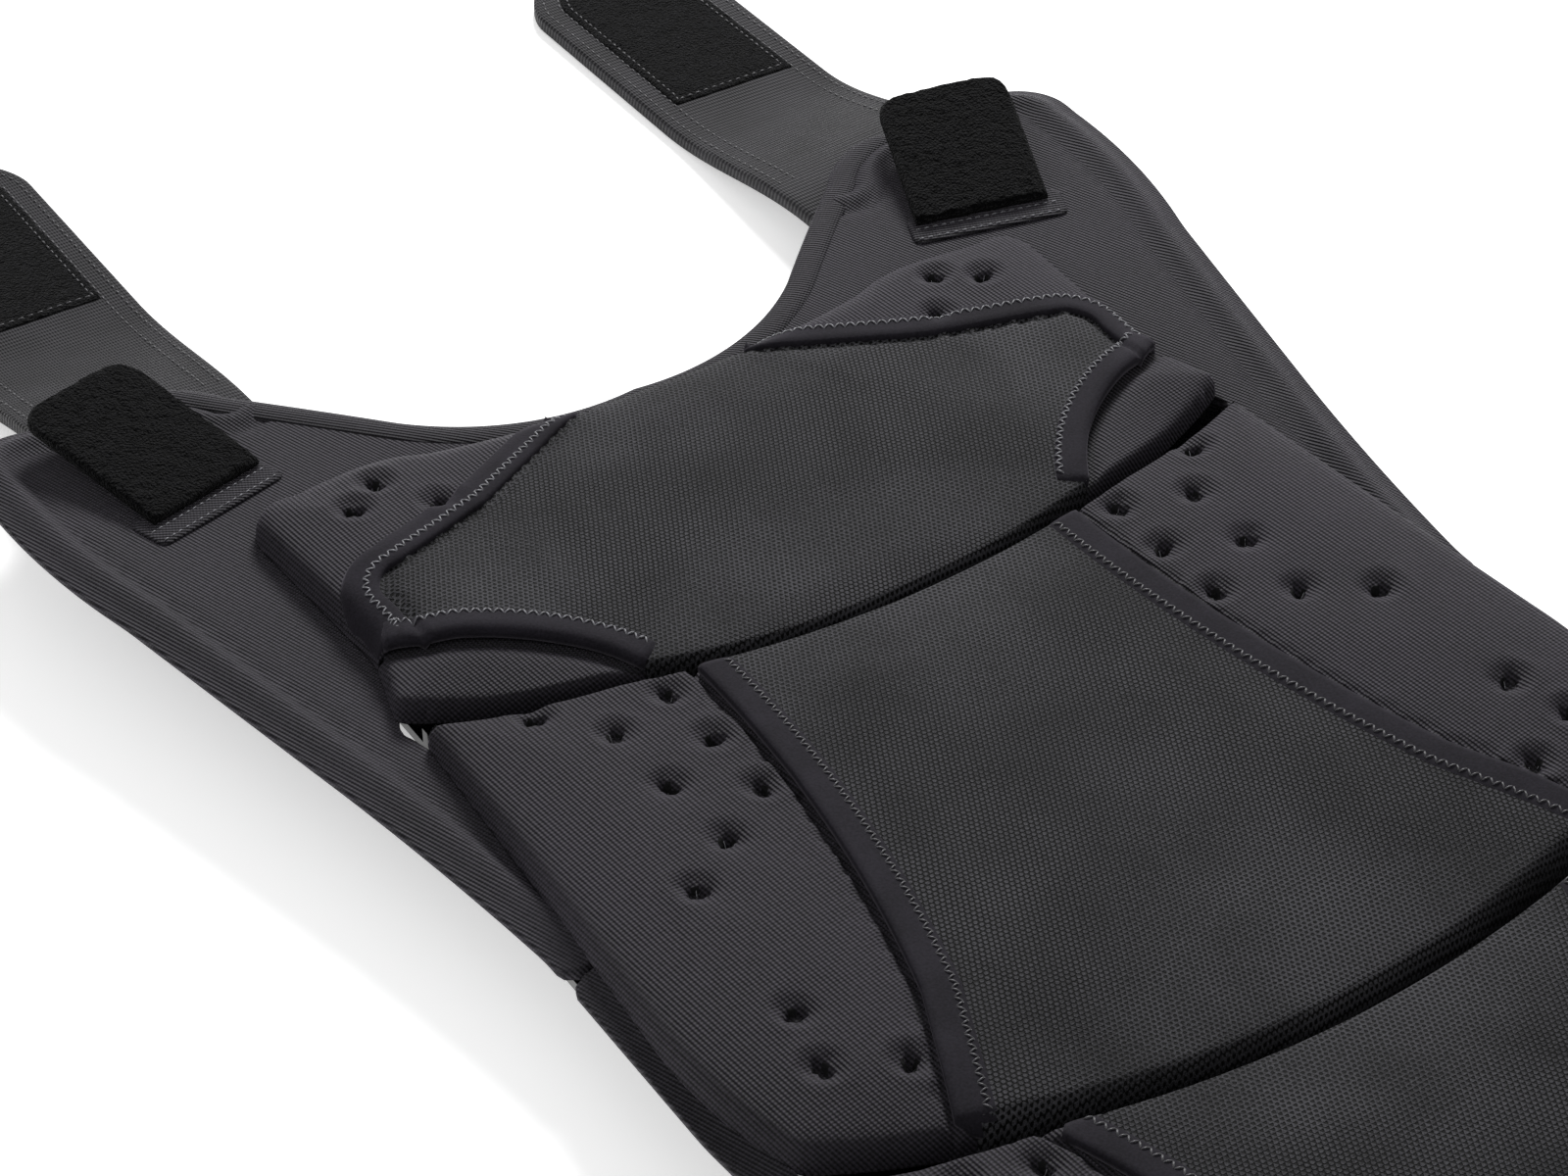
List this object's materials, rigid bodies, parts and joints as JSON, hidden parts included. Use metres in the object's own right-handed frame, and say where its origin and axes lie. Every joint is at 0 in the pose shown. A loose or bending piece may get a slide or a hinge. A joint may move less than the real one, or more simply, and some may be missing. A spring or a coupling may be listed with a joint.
{
  "type": "motorcycle back protector",
  "caption": "Articulated back protector: hinged hard plates under foam pads with bound mesh panels, sewn carrier yoke with neck cut-out, shoulder straps, hook tabs and waist belt.",
  "frame": {"origin": "on the resting surface, under the middle of the box of the whole protector", "axes": "+Z to the body side, +Y to the neck, +X across the back"},
  "size_m": [0.84, 0.762, 0.0378],
  "materials": {
    "hard_plate": "polished black moulding",
    "rivet_steel": "dark brushed",
    "foam": "closed-cell foam",
    "cushion_edge": "fabric over foam",
    "spacer_mesh": "open 3D spacer mesh",
    "binding_tape": "smooth tape, zig-zag stitched",
    "jersey": "fine ribbed jersey",
    "carrier_fabric": "fine ribbed jersey over thin foam",
    "neck_binding": "rolled jersey edge",
    "loop_pile": "brushed loop pile",
    "hook_pile": "dense hook pile",
    "patch_fabric": "stitched jersey patch",
    "strap_fabric": "flat woven",
    "belt_elastic": "ribbed elastic"
  },
  "bodies": {
    "upper_back": {"upper_back_binding_tape_left": "binding_tape", "upper_back_binding_tape_right": "binding_tape", "upper_back_cushion": "cushion_edge", "upper_back_foam_core": "foam", "upper_back_jersey_wing_left": "jersey", "upper_back_jersey_wing_right": "jersey", "upper_back_plate": "hard_plate", "upper_back_spacer_mesh": "spacer_mesh", "upper_flank_strip_left": "carrier_fabric", "upper_flank_strip_right": "carrier_fabric", "upper_hinge_rivets": "rivet_steel"},
    "shoulders": {"neck_binding": "neck_binding", "shoulder_binding_tape_left": "binding_tape", "shoulder_binding_tape_right": "binding_tape", "shoulder_cushion": "cushion_edge", "shoulder_ear_left": "jersey", "shoulder_ear_right": "jersey", "shoulder_foam_core": "foam", "shoulder_jersey_wing_left": "jersey", "shoulder_jersey_wing_right": "jersey", "shoulder_plate": "hard_plate", "shoulder_spacer_mesh": "spacer_mesh", "strap_root_left": "strap_fabric", "strap_root_right": "strap_fabric", "tab_patch_left": "patch_fabric", "tab_patch_right": "patch_fabric", "yoke_panel": "carrier_fabric"},
    "lower_back": {"lower_back_binding_tape_left": "binding_tape", "lower_back_binding_tape_right": "binding_tape", "lower_back_cushion": "cushion_edge", "lower_back_foam_core": "foam", "lower_back_jersey_wing_left": "jersey", "lower_back_jersey_wing_right": "jersey", "lower_back_plate": "hard_plate", "lower_back_spacer_mesh": "spacer_mesh", "lower_flank_strip_left": "carrier_fabric", "lower_flank_strip_right": "carrier_fabric", "middle_hinge_rivets": "rivet_steel"},
    "lumbar": {"lower_hinge_rivets": "rivet_steel", "lumbar_binding_tape_left": "binding_tape", "lumbar_binding_tape_right": "binding_tape", "lumbar_cushion": "cushion_edge", "lumbar_foam_core": "foam", "lumbar_jersey_wing_left": "jersey", "lumbar_jersey_wing_right": "jersey", "lumbar_panel": "carrier_fabric", "lumbar_plate": "hard_plate", "lumbar_spacer_mesh": "spacer_mesh"},
    "belt_left": {"belt_half_left": "belt_elastic", "belt_loop_field_left": "loop_pile"},
    "belt_right": {"belt_half_right": "belt_elastic", "belt_hook_closure": "hook_pile", "belt_loop_field_right": "loop_pile"},
    "strap_left": {"shoulder_strap_left": "strap_fabric", "strap_loop_patch_left": "loop_pile"},
    "strap_right": {"shoulder_strap_right": "strap_fabric", "strap_loop_patch_right": "loop_pile"},
    "tab_left": {"hook_tab_left": "hook_pile"},
    "tab_right": {"hook_tab_right": "hook_pile"}
  },
  "joints": [
    {"name": "upper_flex", "type": "hinge", "parent": "upper_back", "child": "shoulders", "pos_m": [0, 0.053, 0.015], "axis": [1, 0, 0], "range_deg": [-3, 10]},
    {"name": "middle_flex", "type": "hinge", "parent": "upper_back", "child": "lower_back", "pos_m": [0, -0.111, 0.015], "axis": [-1, 0, 0], "range_deg": [-3, 10]},
    {"name": "lower_flex", "type": "hinge", "parent": "lower_back", "child": "lumbar", "pos_m": [0, -0.261, 0.015], "axis": [-1, 0, 0], "range_deg": [-3, 10]},
    {"name": "belt_fold_left", "type": "hinge", "parent": "lumbar", "child": "belt_left", "pos_m": [-0.1195, -0.317, 0.024], "axis": [0, 1, 0], "range_deg": [0, 110]},
    {"name": "belt_fold_right", "type": "hinge", "parent": "lumbar", "child": "belt_right", "pos_m": [0.1195, -0.317, 0.024], "axis": [0, -1, 0], "range_deg": [0, 110]},
    {"name": "strap_fold_left", "type": "hinge", "parent": "shoulders", "child": "strap_left", "pos_m": [-0.112, 0.221, 0.024], "axis": [1, 0, 0], "range_deg": [0, 110]},
    {"name": "strap_fold_right", "type": "hinge", "parent": "shoulders", "child": "strap_right", "pos_m": [0.112, 0.221, 0.024], "axis": [1, 0, 0], "range_deg": [0, 110]},
    {"name": "tab_peel_left", "type": "hinge", "parent": "shoulders", "child": "tab_left", "pos_m": [-0.1165, 0.172, 0.02241], "axis": [0.9274, 0.3584, -0.1069], "range_deg": [0, 70]},
    {"name": "tab_peel_right", "type": "hinge", "parent": "shoulders", "child": "tab_right", "pos_m": [0.1165, 0.172, 0.02241], "axis": [0.9274, -0.3584, 0.1069], "range_deg": [0, 70]}
  ]
}
